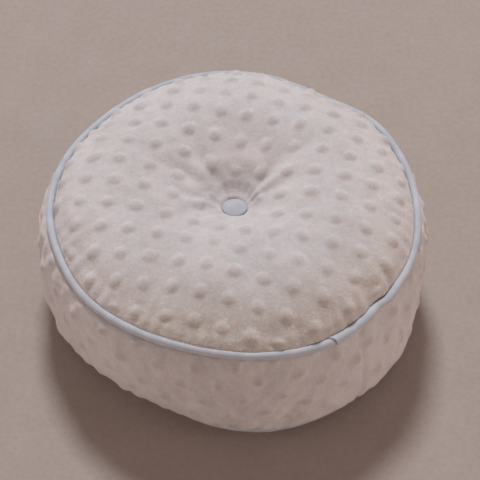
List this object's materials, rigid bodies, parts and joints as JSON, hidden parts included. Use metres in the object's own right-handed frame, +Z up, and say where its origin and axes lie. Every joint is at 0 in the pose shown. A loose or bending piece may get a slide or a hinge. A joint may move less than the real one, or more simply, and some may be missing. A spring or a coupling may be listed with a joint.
{
  "type": "round cushion",
  "caption": "Round boxed cushion in dotted plush, with piped seams, a domed top and a covered button that pulls a dimple into its middle.",
  "frame": {"origin": "middle of the flat patch on the underside that the cushion lies on", "axes": "+Z up out of the button, -Y towards the side that faces the viewer in the picture, +X to the viewer's right"},
  "size_m": [0.3206, 0.3201, 0.1509],
  "materials": {
    "plush_cover": "short-pile dotted plush, pale greyish pink",
    "satin_piping": "satin bias piping, pale blue-grey",
    "button_cloth": "smooth cloth over a button, pale blue-grey"
  },
  "bodies": {
    "root": {"cushion_body": "plush_cover", "piping_top": "satin_piping", "piping_bottom": "satin_piping", "button_top": "button_cloth"}
  },
  "joints": []
}
